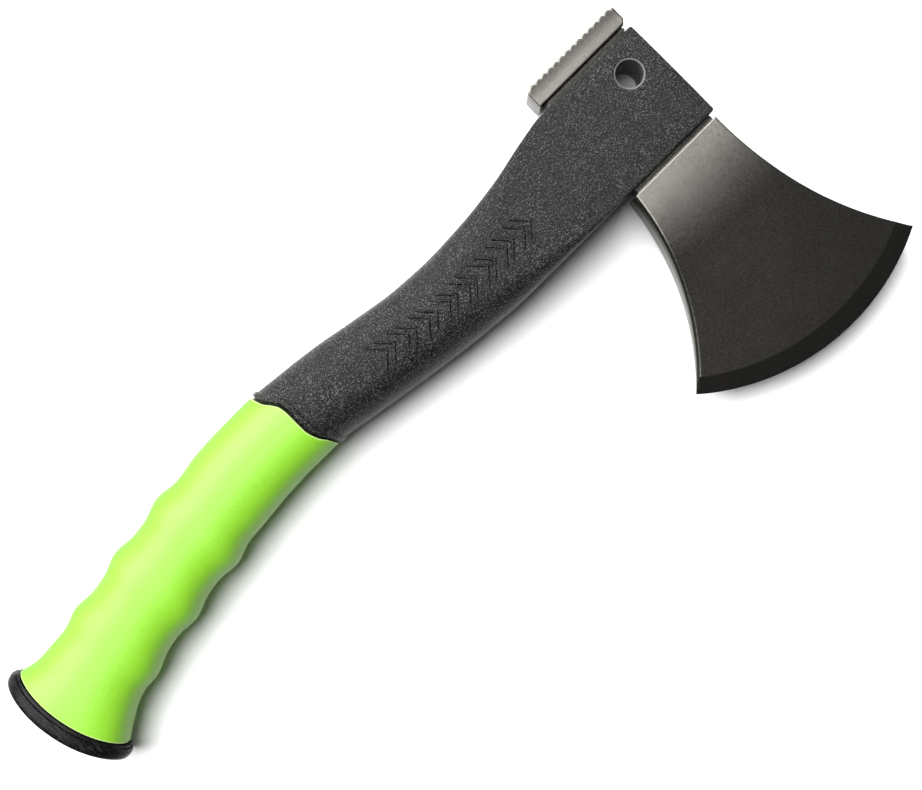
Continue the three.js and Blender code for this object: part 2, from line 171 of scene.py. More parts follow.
# Line between core and grip in plan, as y, x from the poll side to the blade side, and the
# stretch of the handle that it lies in.
GRIP_LINE = (
    (40, -162.6), (22, -162.2), (16, -160.5), (13, -158.3), (11, -157.2), (8, -156.8),
    (1, -156.8), (-3.5, -155.6), (-6.3, -153.8), (-8.5, -153), (-12, -152.6), (-40, -152.4),
)
GRIP_LINE_WITHIN = (-180, -140)
PLAIN_TO_X = -146  # the core's plain part ends here, short of its lip
GRIP_LIP = 0.45  # radius of the sleeve's two visible edges
# Raised lip of the core beside the grip line: distance from the line, height.
CORE_LIP = (
    (2.8, 0), (2.6, 0.04), (2.4, 0.2), (2.2, 0.38), (1.9, 0.47), (1.4, 0.5), (1.0, 0.45),
    (0.75, 0.3), (0.6, 0), (0.5, -0.6), (0.1, -0.9),
)

BUTT_FACE = (-270.2, -9.4)
BUTT_TURN = 0.197
BUTT_RADIUS = 56
BUTT_WITHIN = (-290, -245)  # the stretch of the handle that its end face lies in
HOLLOW_TURN = 0.162
HOLLOW_MOUTH = 0.8  # depth of the hollow's first ring
HOLLOW_DEPTH = 72
HOLLOW_HALF_WIDTH = 7.6
HOLLOW_HALF_HEIGHT = 5

CAP_HALF_WIDTH = 21.9
CAP_HALF_HEIGHT = 12.7
CAP_THICKNESS = 5
CAP_INNER_RADIUS = 60
CAP_OUTER_RADIUS = 57
# The flange's section: share of the way to the rim, share of the thickness outwards.
CAP_INNER_SIDE = (
    (0.5, 0.0), (0.8, 0.0), (0.915, 0.0), (0.93, 0.01), (0.935, 0.03), (0.936, 0.19),
    (0.938, 0.22), (0.947, 0.235),
)
CAP_OUTER_SIDE = (
    (0.945, 0.998), (0.92, 0.98), (0.9, 0.94), (0.885, 0.89), (0.87, 0.865), (0.85, 0.86),
    (0.6, 0.85), (0.3, 0.845), (0.04, 0.845),
)
CAP_BEAD = (0.24, 1.0)  # shares of the thickness that its rounded rim lies between
CAP_BEAD_ROOT = 0.952
CAP_BEAD_POWER = 0.7  # 1 makes the rim elliptical, and less makes it squarer
CAP_GROOVE = (0.36, 0.05, 0.008)  # place, width and depth of the fine groove in the rim
SPIGOT_LENGTH = 14
SPIGOT_LEAD = 0.8
SPIGOT_ROOT = 0.6  # depth of the ring where the spigot leaves the flange

# Pairs of raised chevrons down the middle of the handle's sides, where they clear the table.
CHEVRON_PAIRS = 8
CHEVRON_FROM_X = -67
CHEVRON_PITCH = 7.8
CHEVRON_GAP = 2.9
CHEVRON_REACH = 2.1  # half its length along the handle
CHEVRON_SPAN = 4.6  # half its width across
CHEVRON_STROKE = 1.0
CHEVRON_HEIGHT = 0.5
# One side of its rounded section: share of the stroke across, share of the height.
CHEVRON_SECTION = ((-0.5, -0.7), (-0.5, 0), (-0.42, 0.5), (-0.28, 0.83), (-0.1, 1))

# Light. The backdrop goes from dim to bright towards the poll's side, as a direction's Y goes
# from WORLD_BRIGHT_FROM to 1. The key's angles are in degrees.
WORLD_DIM = 0.08
WORLD_BRIGHT = 2.0
WORLD_BRIGHT_FROM = 0.45
KEY_TILT = 29  # from the vertical
KEY_TOWARDS = 98  # from +X towards +Y
KEY_SPREAD = 56
KEY_STRENGTH = 7.4

# Stage.
TABLE_RADIUS = 6000
TABLE_DROP = 0.03  # how far the table lies under the hatchet
CAMERA_OVER = (-116.34, -24.65)
CAMERA_HEIGHT = 556
CAMERA_TURN = -45  # degrees
CAMERA_SENSOR = 36
CAMERA_LENS = 70.99
CAMERA_CLIP = (10, 50000)

# Mesh density.
SIDE_STEPS = 4
CORNER_STEPS = 34
TOP_STEPS = 10
ROUND_STEPS = 5
RING_PITCH = 1.2
INNER_STEPS = 24
LIP_STEPS = 10
CHEVRON_STEPS = 20
HOLE_SIDES = 72
CAP_COLUMNS = 144
BEAD_STEPS = 22
TABLE_SIDES = 96

# Tolerances.
STRAIGHT_BOW = 0.001  # an arc that bulges less than this is drawn straight
HALVINGS = 40  # steps of the search for a crossing
WELD = 0.004  # points closer than this are welded

# Smooth shading stops where faces meet at more than this many degrees.
HARD_SHARP = 40
SOFT_SHARP = 50

# Share of the painted highlight on the grip's rounded lips.
LIP_HIGHLIGHT = "lip_highlight"  # vertex attribute, 0 to 1


# ------------------------------------------------------------------------------- helpers

def lerp(a, b, t):
    return a + (b - a) * t


def ramp(x, low, high):
    """A smooth 0 to 1 as x goes from low to high."""
    t = min(1.0, max(0.0, (x - low) / (high - low)))
    return t * t * (3 - 2 * t)


def smooth(stations):
    """A smooth y(x) through stations listed with x going down (monotone cubic)."""
    slopes = [0.0]
    for (x0, y0), (x1, y1), (x2, y2) in zip(stations, stations[1:], stations[2:]):
        before = (y1 - y0) / (x1 - x0)
        after = (y2 - y1) / (x2 - x1)
        slopes.append(2 * before * after / (before + after) if before * after > 0 else 0.0)
    slopes.append(0.0)

    def value(x):
        i = 0
        while i < len(stations) - 2 and x < stations[i + 1][0]:
            i += 1
        x0, y0 = stations[i]
        x1, y1 = stations[i + 1]
        span = x1 - x0
        t = min(1.0, max(0.0, (x - x0) / span))
        eased = y0 + (y1 - y0) * t * t * (3 - 2 * t)
        return eased + span * t * (1 - t) * (slopes[i] * (1 - t) - slopes[i + 1] * t)

    return value


def arc_point(a, b, bow, t):
    """The point at share t of the circular arc from a to b that bulges sideways by bow."""
    chord = math.hypot(b[0] - a[0], b[1] - a[1])
    along = ((b[0] - a[0]) / chord, (b[1] - a[1]) / chord)
    side = (along[1], -along[0])
    if abs(bow) < STRAIGHT_BOW:
        run, rise = chord * t, 0.0
    else:
        radius = (chord * chord / 4 + bow * bow) / (2 * bow)
        half = 2 * math.atan2(bow, chord / 2)
        angle = half * (2 * t - 1)
        run = chord / 2 + radius * math.sin(angle)
        rise = radius * (math.cos(angle) - math.cos(half))
    return (a[0] + along[0] * run + side[0] * rise, a[1] + along[1] * run + side[1] * rise)


def squarer(value):
    """A sine or cosine moved towards 1 or -1, which makes an ellipse squarer."""
    return math.copysign(abs(value) ** (2 / CORNER_POWER), value)


def solve(f, low, high):
    """Where the rising f crosses zero between low and high."""
    for _ in range(HALVINGS):
        middle = (low + high) / 2
        if f(middle) > 0:
            high = middle
        else:
            low = middle
    return (low + high) / 2


def make(name, points, faces):
    """An object from points in millimetres, its faces turned outwards."""
    mesh = bpy.data.meshes.new(name)
    mesh.from_pydata([ORIGIN + Vector(p) * MM for p in points], [], faces)
    body = bmesh.new()
    body.from_mesh(mesh)
    bmesh.ops.recalc_face_normals(body, faces=body.faces)
    body.to_mesh(mesh)
    body.free()
    obj = bpy.data.objects.new(name, mesh)
    bpy.context.scene.collection.objects.link(obj)
    return obj


def paint_lip_highlight(obj, shares):
    """Writes the share of painted highlight on each vertex."""
    attribute = obj.data.attributes.new(LIP_HIGHLIGHT, "FLOAT", "POINT")
    attribute.data.foreach_set("value", shares)


def loft(name, rings, looped=False):
    """A closed body through rings of equal length; looped joins the last ring to the first."""
    count = len(rings[0])
    points = [p for ring in rings for p in ring]
    faces = []
    spans = len(rings) if looped else len(rings) - 1
    for r in range(spans):
        here, there = r * count, (r + 1) % len(rings) * count
        for i in range(count):
            j = (i + 1) % count
            faces.append((here + i, here + j, there + j, there + i))
    if not looped:
        faces.append(tuple(range(count)))
        faces.append(tuple(range(len(points) - count, len(points))))
    return make(name, points, faces)


def plate(name, upper):
    """A closed body, symmetric about the mid-plane, from rows of x, y, half thickness."""
    rows, columns = len(upper), len(upper[0])
    points = [p for line in upper for p in line]
    under = len(points)
    points += [(x, y, -z) for x, y, z in points]
    border = [(0, c) for c in range(columns)]
    border += [(r, columns - 1) for r in range(1, rows)]
    border += [(rows - 1, c) for c in range(columns - 2, -1, -1)]
    border += [(r, 0) for r in range(rows - 2, 0, -1)]
    faces = []
    for r in range(rows - 1):
        for c in range(columns - 1):
            a = r * columns + c
            quad = (a, a + 1, a + columns + 1, a + columns)
            faces += [quad, tuple(i + under for i in quad)]
    rim = [r * columns + c for r, c in border]
    for a, b in zip(rim, rim[1:] + rim[:1]):
        faces.append((a, b, b + under, a + under))
    return make(name, points, faces)


def round_drop(distance, radius):
    """How far a face drops at a distance from an edge rounded to that radius."""
    short = max(0.0, radius - distance)
    return radius - math.sqrt(radius**2 - short**2)


def prism(name, outline, half):
    """An upright body of a plan outline, centred on the mid-plane."""
    return loft(name, [[(x, y, z) for x, y in outline] for z in (-half, half)])


def circle(centre, radius):
    turns = [2 * math.pi * i / HOLE_SIDES for i in range(HOLE_SIDES)]
    return [(centre[0] + radius * math.cos(t), centre[1] + radius * math.sin(t)) for t in turns]


def rectangle(x0, x1, y0, y1):
    return [(x0, y0), (x1, y0), (x1, y1), (x0, y1)]


def combine(target, tool, operation):
    """Joins tool to target, or cuts it away, and removes the tool."""
    modifier = target.modifiers.new("combine", "BOOLEAN")
    modifier.object = tool
    modifier.operation = operation
    modifier.solver = "EXACT"
    graph = bpy.context.evaluated_depsgraph_get()
    mesh = bpy.data.meshes.new_from_object(target.evaluated_get(graph))
    target.modifiers.clear()
    target.data = mesh
    bpy.data.objects.remove(tool)


def weld(mesh):
    """Closes the slivers that joining and cutting leave where two faces almost coincide."""
    body = bmesh.new()
    body.from_mesh(mesh)
    bmesh.ops.triangulate(body, faces=[f for f in body.faces if len(f.verts) > 4])
    bmesh.ops.remove_doubles(body, verts=body.verts, dist=WELD * MM)
    bmesh.ops.dissolve_degenerate(body, dist=WELD * MM, edges=body.edges)
    body.to_mesh(mesh)
    body.free()


def finish_piece(obj, node, material, sharp_angle):
    """Shades a piece, gives it its material and stands it in for its CAD node."""
    obj.name = node + "_detail"
    mesh = obj.data
    weld(mesh)
    mesh.name = obj.name
    mesh.materials.clear()
    mesh.materials.append(material)
    mesh.shade_smooth()
    mesh.set_sharp_from_angle(angle=math.radians(sharp_angle))
    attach(obj, "root")
    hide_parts(node)


# ---------------------------------------------------------------------------------- head

def blade_half(v):
    """Half thickness at share v of the way from the root to the edge."""
    fall = (ROOT_HALF - BEVEL_HALF) / (BEVEL_START - CHEEK_END * 2 / 3)
    if v < CHEEK_END:
        return ROOT_HALF - fall * v**3 / (3 * CHEEK_END**2)
    if v < BEVEL_START:
        return ROOT_HALF - fall * (v - CHEEK_END * 2 / 3)
    return lerp(BEVEL_HALF, EDGE_HALF, (v - BEVEL_START) / (1 - BEVEL_START))


def chamfer(distance, size):
    """How far a face drops at a distance from an edge with a softened chamfer of that size."""
    t = min(1.0, distance / size)
    return size * (1 - t) ** CHAMFER_POWER


def blade():
    """The blade in rows from its root to its edge, closest together where it turns."""
    root_rows = [s / BLADE_HEIGHT for s in (0, 0.06, 0.16, 0.32, 0.5, 0.9)]
    face_from, face_to, face_steps = 0.03, BEVEL_START - 0.012, 46
    face_rows = [lerp(face_from, face_to, i / face_steps) for i in range(face_steps + 1)]
    bevel_rows = [BEVEL_START + d for d in (-0.004, -0.001, 0.001, 0.004)]
    edge_from, edge_to, edge_steps = BEVEL_START + 0.01, 0.99, 6
    edge_rows = [lerp(edge_from, edge_to, i / edge_steps) for i in range(edge_steps + 1)]
    rows = [*root_rows, *face_rows, *bevel_rows, *edge_rows, 0.996, 1.0]
    near_heel = (0, 0.12, 0.3, 0.55, 0.9, 1.3)
    near_toe = (0.8, 0.45, 0.3, 0.15, 0.06, 0)
    past_heel, past_toe, across = 2.2, 1.5, 60
    upper = []
    for v in rows:
        heel = arc_point(HEEL_ROOT, HEEL_TIP, HEEL_SIDE_BOW, v)
        toe = arc_point(TOE_ROOT, TOE_TIP, TOE_SIDE_BOW, v)
        width = math.dist(heel, toe)
        inner = [lerp(past_heel, width - past_toe, i / across) for i in range(across + 1)]
        places = [*near_heel, *inner, *(width - d for d in near_toe)]
        half = blade_half(v) - round_drop(v * BLADE_HEIGHT, ROOT_ROUND)
        line = []
        for place in places:
            x, y = arc_point(heel, toe, EDGE_BOW * v * v, place / width)
            heel_cut = chamfer(place, min(HEEL_CHAMFER, half * CHAMFER_SHARE))
            toe_cut = chamfer(width - place, min(TOE_CHAMFER, half * CHAMFER_SHARE))
            line.append((x, y, max(EDGE_HALF / 2, half - heel_cut - toe_cut)))
        upper.append(line)
    return plate("blade", upper)


def poll_span(x):
    """Where the poll starts and ends in y at x: a softened corner, and rounded teeth."""
    valley = POLL_FACE_Y - TOOTH_DEPTH
    from_top, from_low = POLL_TOP_X - x, x - POLL_LOW_X
    tooth = (from_top - POLL_CORNER) * TEETH / (POLL_TOP_X - POLL_LOW_X - 2 * POLL_CORNER)
    crest = abs(math.sin(math.pi * tooth)) if 0 < tooth < TEETH else 0.0
    outer = valley + TOOTH_DEPTH * crest
    outer -= round_drop(from_top, POLL_TOP_ROUND) + round_drop(from_low, POLL_CORNER)
    return POLL_INNER_Y + max(0.0, POLL_CORNER - from_top), outer


def poll():
    """The poll in lines across it, with its edges rounded and its teeth in the outer one."""
    length = POLL_TOP_X - POLL_LOW_X
    near = [POLL_ROUND * share for share in (0, 0.06, 0.15, 0.3, 0.5, 0.75, 1)]
    ends = [*near, 0.6, 0.8, 1.0, 1.15]
    tooth_steps, face_steps = TEETH * 10, 14
    places = list(ends)
    for i in range(tooth_steps + 1):
        places.append(lerp(POLL_CORNER, length - POLL_CORNER, i / tooth_steps))
    places += [length - d for d in reversed(ends)]
    lines = []
    for place in places:
        x = POLL_TOP_X - place
        inner, outer = poll_span(x)
        across = [inner + d for d in near]
        for i in range(1, face_steps):
            across.append(lerp(inner + POLL_ROUND, outer - POLL_ROUND, i / face_steps))
        across += [outer - d for d in reversed(near)]
        line = []
        for y in across:
            drop = round_drop(min(place, length - place, y - inner, outer - y), POLL_ROUND)
            past = y - POLL_FLARE_Y
            rise = POLL_TAPER * past + POLL_FLARE * max(0, past) ** 2
            line.append((x, y, POLL_HALF + rise - drop))
        lines.append(line)
    return plate("poll", lines)


def web(grow, reach, half):
    """The web through the handle; grow widens it and shrinks its holes by the same amount."""
    outline = rectangle(WEB_LOW_X - grow, WEB_TOP_X + grow, -reach, reach)
    body = prism("web", outline, half)
    holes = [(centre, LOCK_HOLE_RADIUS) for centre in LOCK_HOLES]
    holes.append((HANG_HOLE, HANG_HOLE_RADIUS + HANG_LINER_WALL + GAP))
    for centre, radius in holes:
        cutter = prism("hole", circle(centre, radius - grow), half + CUT_PAST)
        combine(body, cutter, "DIFFERENCE")
    return body


def head(material):
    """Blade, web, ribs and poll as one forging."""
    body = blade()
    combine(body, web(0, POLL_INNER_Y + WEB_BITE, WEB_HALF), "UNION")
    for (y0, half0), (y1, half1) in (POLL_RIB, BLADE_RIB):
        section = ((y0, half0), (y1, half1), (y1, -half1), (y0, -half0))
        rib = loft("rib", [[(x, y, z) for y, z in section] for x in (WEB_LOW_X, WEB_TOP_X)])
        combine(body, rib, "UNION")
    combine(body, poll(), "UNION")
    finish_piece(body, "head", material, HARD_SHARP)


# -------------------------------------------------------------------------------- handle

poll_side = smooth(POLL_SIDE)
blade_side = smooth(BLADE_SIDE)
half_thickness = smooth(HALF_THICKNESS)
grip_line = smooth(GRIP_LINE)


def section_columns():
    """
    The points round a section, as four weights: across = a (half - corner) + b corner and
    up = c (rise - corner) + d corner, with the corner's own radius each way.
    """
    quarter = [(1, 1, i / SIDE_STEPS, 0) for i in range(SIDE_STEPS)]
    for i in range(CORNER_STEPS + 1):
        turn = math.pi / 2 * i / CORNER_STEPS
        quarter.append((1, squarer(math.cos(turn)), 1, squarer(math.sin(turn))))
    quarter += [(1 - i / TOP_STEPS, 0, 1, 1) for i in range(1, TOP_STEPS + 1)]
    columns = quarter[:-1]
    columns += [(-a, -b, c, d) for a, b, c, d in quarter[:0:-1]]
    columns += [(-a, -b, -c, -d) for a, b, c, d in quarter[:-1]]
    columns += [(a, b, -c, -d) for a, b, c, d in quarter[:0:-1]]
    return columns


COLUMNS = section_columns()


def ridge(x, start):
    """Height of the finger ridges at x, for a run of ridges whose first is at start."""
    fade = ramp(RIDGE_FROM_X - x, -RIDGE_FADE, RIDGE_FADE)
    fade *= ramp(x - RIDGE_TO_X, -RIDGE_FADE, RIDGE_FADE)
    wave = (1 + math.cos(2 * math.pi * (x - start) / RIDGE_PITCH)) / 2
    return RIDGE_HEIGHT * fade * (2 * wave**RIDGE_CREST - 1)


@lru_cache(maxsize=None)
def section_frame(u, inset, ridged):
    """Middle, direction across, half width, rise and corner radii of the section at u."""
    turn = SLANT * ramp(SLANT_FROM_U - u, 0, SLANT_FROM_U - SLANT_TO_U)
    poll_x, blade_x = u - turn, u + turn
    poll_y, blade_y = poll_side(poll_x), blade_side(blade_x)
    if ridged:
        poll_y += ridge(poll_x, RIDGE_POLL_X)
        blade_y -= ridge(blade_x, RIDGE_BLADE_X)
    outer = math.hypot(poll_x - blade_x, poll_y - blade_y) / 2
    across = ((poll_x - blade_x) / (2 * outer), (poll_y - blade_y) / (2 * outer))
    half = outer - inset
    rise = half_thickness(u) - inset
    oval = ramp(OVAL_FROM_X - u, 0, OVAL_FROM_X - OVAL_TO_X)
    eye_corner = max(LEAST_CORNER, EYE_CORNER - inset)
    corner = tuple(lerp(eye_corner, OVAL_SHARE * full, oval) for full in (half, rise))
    return ((poll_x + blade_x) / 2, (poll_y + blade_y) / 2), across, half, rise, corner


def surface(u, column, inset=0.0, ridged=False):
    """The point of the handle's surface in one column of the section at u."""
    middle, across, half, rise, corner = section_frame(u, inset, ridged)
    a, b, c, d = column
    wide = a * (half - corner[0]) + b * corner[0]
    high = (c * (rise - corner[1]) + d * corner[1]) * (1 - CROWN * (wide / half) ** 2)
    return (middle[0] + across[0] * wide, middle[1] + across[1] * wide, high)


def line_u(column, inset, lead):
    """Where a column crosses the grip line moved along the handle by lead."""
    def past(u):
        x, y, _ = surface(u, column, inset)
        return x - grip_line(y) - lead
    return solve(past, *GRIP_LINE_WITHIN)


def butt_u(column, inset, ridged=False):
    """Where a column crosses the butt's end face."""
    centre = (
        BUTT_FACE[0] + BUTT_RADIUS * math.cos(BUTT_TURN),
        BUTT_FACE[1] + BUTT_RADIUS * math.sin(BUTT_TURN),
    )
    def short(u):
        return BUTT_RADIUS - math.dist(surface(u, column, inset, ridged)[:2], centre)
    return solve(short, *BUTT_WITHIN)


def hollow_ring(turns, shrink, depth):
    """A ring of the butt's hollow, or of what fills it, at a depth from its mouth."""
    ring = []
    for turn in turns:
        wide = (HOLLOW_HALF_WIDTH - shrink) * math.cos(turn)
        x = depth * math.cos(HOLLOW_TURN) - wide * math.sin(HOLLOW_TURN)
        y = depth * math.sin(HOLLOW_TURN) + wide * math.cos(HOLLOW_TURN)
        z = (HOLLOW_HALF_HEIGHT - shrink) * math.sin(turn)
        ring.append((BUTT_FACE[0] + x, BUTT_FACE[1] + y, z))
    return ring


def core_body():
    """The core as one tube: round its top end, along to the grip line, in, and to the butt."""
    rings = []
    for i in range(ROUND_STEPS + 1):
        turn = math.pi / 2 * i / ROUND_STEPS
        u = HANDLE_TOP_X - END_ROUND * (1 - math.cos(turn))
        rings.append([surface(u, c, END_ROUND * (1 - math.sin(turn))) for c in COLUMNS])
    plain_from = HANDLE_TOP_X - END_ROUND
    steps = round((plain_from - PLAIN_TO_X) / RING_PITCH)
    for i in range(1, steps + 1):
        u = lerp(plain_from, PLAIN_TO_X, i / steps)
        rings.append([surface(u, c) for c in COLUMNS])
    # Where the line slants, the lip is longer along the handle, so that it stays as wide.
    reach = 0.2
    lines, stretches = [], []
    for column in COLUMNS:
        u = line_u(column, 0, 0)
        y = surface(u, column)[1]
        slope = (grip_line(y + reach) - grip_line(y - reach)) / (2 * reach)
        lines.append(u)
        stretches.append(math.hypot(1, slope))
    lip_width = CORE_LIP[0][0]
    for i in range(1, LIP_STEPS):
        ring = []
        for column, line, stretch in zip(COLUMNS, lines, stretches):
            u = lerp(PLAIN_TO_X, line + lip_width * stretch, i / LIP_STEPS)
            ring.append(surface(u, column))
        rings.append(ring)
    for distance, height in CORE_LIP:
        ring = []
        for column, line, stretch in zip(COLUMNS, lines, stretches):
            ring.append(surface(line + distance * stretch, column, -height))
        rings.append(ring)
    rings.append([surface(line, c, SLEEVE_WALL) for c, line in zip(COLUMNS, lines)])
    ends = [butt_u(c, SLEEVE_WALL) for c in COLUMNS]
    for i in range(1, INNER_STEPS + 1):
        ring = []
        for column, line, end in zip(COLUMNS, lines, ends):
            ring.append(surface(lerp(line, end, i / INNER_STEPS), column, SLEEVE_WALL))
        rings.append(ring)
    turns = [math.atan2(c + d, a + b) for a, b, c, d in COLUMNS]
    rings += [hollow_ring(turns, 0, depth) for depth in (HOLLOW_MOUTH, HOLLOW_DEPTH)]
    return loft("core", rings)


def hang_hole():
    """The hang hole with its rounded rims."""
    top = half_thickness(HANG_HOLE[0])
    profile = [(HANG_HOLE_RADIUS, 0.0)]
    rim_width, rim_depth = HANG_HOLE_RIM
    for degrees in HANG_RIM_TURNS:
        turn = math.radians(degrees)
        radius = HANG_HOLE_RADIUS + rim_width * (1 - math.cos(turn))
        profile.append((radius, top - rim_depth * (1 - math.sin(turn))))
    out, up = HANG_RIM_RUNOUT
    profile.append((profile[-1][0] + out, profile[-1][1] + up))
    profile.append((profile[-1][0], top + CUT_PAST))
    levels = [(r, -z) for r, z in profile[:0:-1]] + profile
    rings = [[(x, y, z) for x, y in circle(HANG_HOLE, r)] for r, z in levels]
    return loft("hang_hole", rings)


def surface_height(x, y):
    """Height of the handle's side over a plan point, where its sections stand square."""
    middle, _, half, rise, corner = section_frame(x, 0.0, False)
    wide = abs(y - middle[1])
    past = max(0.0, wide - half + corner[0])
    left = max(0.0, 1 - (past / corner[0]) ** CORNER_POWER)
    high = rise - corner[1] * (1 - left ** (1 / CORNER_POWER))
    return high * (1 - CROWN * (wide / half) ** 2)


def chevron(x, side):
    """A raised chevron that points to the head, laid on one side of the handle."""
    middle = section_frame(x, 0.0, False)[0][1]
    section = CHEVRON_SECTION + tuple((-wide, high) for wide, high in CHEVRON_SECTION[::-1])
    lean = math.atan2(CHEVRON_SPAN, 2 * CHEVRON_REACH)
    rings = []
    for i in range(CHEVRON_STEPS + 1):
        across = 2 * i / CHEVRON_STEPS - 1
        ring = []
        for wide, high in section:
            out = wide * CHEVRON_STROKE
            tip_x = -CHEVRON_REACH + out * math.sin(lean)
            tip_y = CHEVRON_SPAN + out * math.cos(lean)
            point_x = x + lerp(CHEVRON_REACH + out / math.sin(lean), tip_x, abs(across))
            point_y = middle + tip_y * across
            top = surface_height(point_x, point_y) + high * CHEVRON_HEIGHT
            ring.append((point_x, point_y, side * top))
        rings.append(ring)
    return loft("chevron", rings)


def handle_core(material):
    """The core with the slot that the web fills, the hang hole and the chevrons."""
    body = core_body()
    combine(body, web(GAP, SLOT_REACH, WEB_HALF + GAP), "DIFFERENCE")
    combine(body, hang_hole(), "DIFFERENCE")
    for i in range(CHEVRON_PAIRS):
        x = CHEVRON_FROM_X - CHEVRON_PITCH * i
        tallest = half_thickness(x + 2 * CHEVRON_REACH) + CHEVRON_HEIGHT
        sides = (-1, 1) if tallest < half_thickness(0) else (1,)
        for place in (x, x - CHEVRON_GAP):
            for side in sides:
                combine(body, chevron(place, side), "UNION")
    finish_piece(body, "handle_core", material, SOFT_SHARP)


def grip_sleeve(material):
    """The sleeve as a looped tube: along its skin from the grip line to the butt, and back."""
    cavity = SLEEVE_WALL - GAP
    rounding = []
    for i in range(ROUND_STEPS + 1):
        turn = math.pi / 2 * i / ROUND_STEPS
        rounding.append((GRIP_LIP * (1 - math.cos(turn)), GRIP_LIP * (1 - math.sin(turn))))
    rings = []
    for back, inset in rounding:
        rings.append([surface(line_u(c, inset, -GAP) - back, c, inset, True) for c in COLUMNS])
    starts = [line_u(c, 0, -GAP) - GRIP_LIP for c in COLUMNS]
    ends = [butt_u(c, 0, True) + GRIP_LIP for c in COLUMNS]
    steps = round((max(starts) - min(ends)) / RING_PITCH)
    for i in range(1, steps):
        ring = []
        for column, start, end in zip(COLUMNS, starts, ends):
            ring.append(surface(lerp(start, end, i / steps), column, 0, True))
        rings.append(ring)
    for back, inset in reversed(rounding):
        rings.append([surface(butt_u(c, inset, True) + back, c, inset, True) for c in COLUMNS])
    inner_starts = [butt_u(c, cavity) for c in COLUMNS]
    inner_ends = [line_u(c, cavity, -GAP) for c in COLUMNS]
    for i in range(INNER_STEPS + 1):
        ring = []
        for column, start, end in zip(COLUMNS, inner_starts, inner_ends):
            ring.append(surface(lerp(start, end, i / INNER_STEPS), column, cavity))
        rings.append(ring)
    body = loft("sleeve", rings, looped=True)
    last = ROUND_STEPS + steps
    # The rounded lip rings at both ends get the painted highlight.
    lip_rings = {*range(1, ROUND_STEPS), *range(last + 1, last + ROUND_STEPS)}
    shares = []
    for i in range(len(rings)):
        shares += [1.0 if i in lip_rings else 0.0] * len(COLUMNS)
    paint_lip_highlight(body, shares)
    finish_piece(body, "grip_sleeve", material, SOFT_SHARP)


# ------------------------------------------------------------------------------ butt cap

def cap_profile():
    """The flange's section from the spigot over its rim to the middle of its outer face."""
    groove_place, groove_width, groove_depth = CAP_GROOVE
    bead = []
    for i in range(BEAD_STEPS + 1):
        turn = math.pi * i / BEAD_STEPS
        out = lerp(*CAP_BEAD, (1 - math.cos(turn)) / 2)
        groove = groove_depth * math.exp(-(((out - groove_place) / groove_width) ** 2))
        swell = (1 - CAP_BEAD_ROOT) * math.sin(turn) ** CAP_BEAD_POWER
        bead.append((CAP_BEAD_ROOT + swell - groove, out))
    return [*CAP_INNER_SIDE, *bead, *CAP_OUTER_SIDE]


def butt_cap(material):
    """The spigot and the flange as one turned body, squarer in its section than an ellipse."""
    along = (math.cos(BUTT_TURN), math.sin(BUTT_TURN))
    across = (-along[1], along[0])
    turns = [2 * math.pi * i / CAP_COLUMNS for i in range(CAP_COLUMNS)]
    rings = [
        hollow_ring(turns, GAP + SPIGOT_LEAD, SPIGOT_LENGTH),
        hollow_ring(turns, GAP, SPIGOT_LENGTH - SPIGOT_LEAD),
        hollow_ring(turns, GAP, SPIGOT_ROOT),
    ]
    for share, out in cap_profile():
        ring = []
        for turn in turns:
            wide = share * CAP_HALF_WIDTH * squarer(math.cos(turn))
            radius = lerp(CAP_INNER_RADIUS, CAP_OUTER_RADIUS, out)
            depth = radius - math.sqrt(radius**2 - wide**2) - GAP - CAP_THICKNESS * out
            x = BUTT_FACE[0] + along[0] * depth + across[0] * wide
            y = BUTT_FACE[1] + along[1] * depth + across[1] * wide
            ring.append((x, y, share * CAP_HALF_HEIGHT * squarer(math.sin(turn))))
        rings.append(ring)
    finish_piece(loft("cap", rings), "butt_cap", material, SOFT_SHARP)


# ----------------------------------------------------------------------------- materials

# Linear colours. A pair is the darker and the lighter end of its clouds or grain.
COAT = ((0.122, 0.1165, 0.1065), (0.136, 0.13, 0.119))
COAT_GRAIN = (0.18, 0.172, 0.16)
COAT_RUBBED = (0.17, 0.163, 0.151)
COAT_GLOSS = (0.6, 0.6, 0.6, 1.0)
NYLON_PEBBLES = ((0.058, 0.058, 0.0555), (0.08, 0.08, 0.077))
NYLON_PITS = (0.0006, 0.0006, 0.0006)
# Painted highlight round the hang hole's rim, and painted shade inside its bore.
NYLON_RIM_HIGHLIGHT = (0.2, 0.2, 0.195)
NYLON_BORE_SHADE = (0.0005, 0.0005, 0.0005)
GREEN = ((0.174, 0.43, 0.012), (0.183, 0.445, 0.013))
GREEN_GRAIN = (0.204, 0.485, 0.025)
# Painted shade on the grip's upright flanks.
GREEN_FLANK_SHADE = (0.12, 0.3, 0.004)
# Painted highlight on the grip's rounded lips.
GREEN_LIP_HIGHLIGHT = (0.42, 0.6, 0.2)
RUBBER = (0.0025, 0.0025, 0.0026)
RUBBER_RUBBED = (0.02, 0.02, 0.0205)
RUBBER_GRAIN = (0.03, 0.03, 0.031)
TABLE = ((0.86, 0.86, 0.86), (0.88, 0.88, 0.88))

# Distances past the hang hole's wall, in mm: the painted shade inside the bore fades out from
# the first to the second, and the painted highlight on the rim from the second to the third.
HANG_SHADE_AND_HIGHLIGHT = (-0.05, 0.05, 0.6)


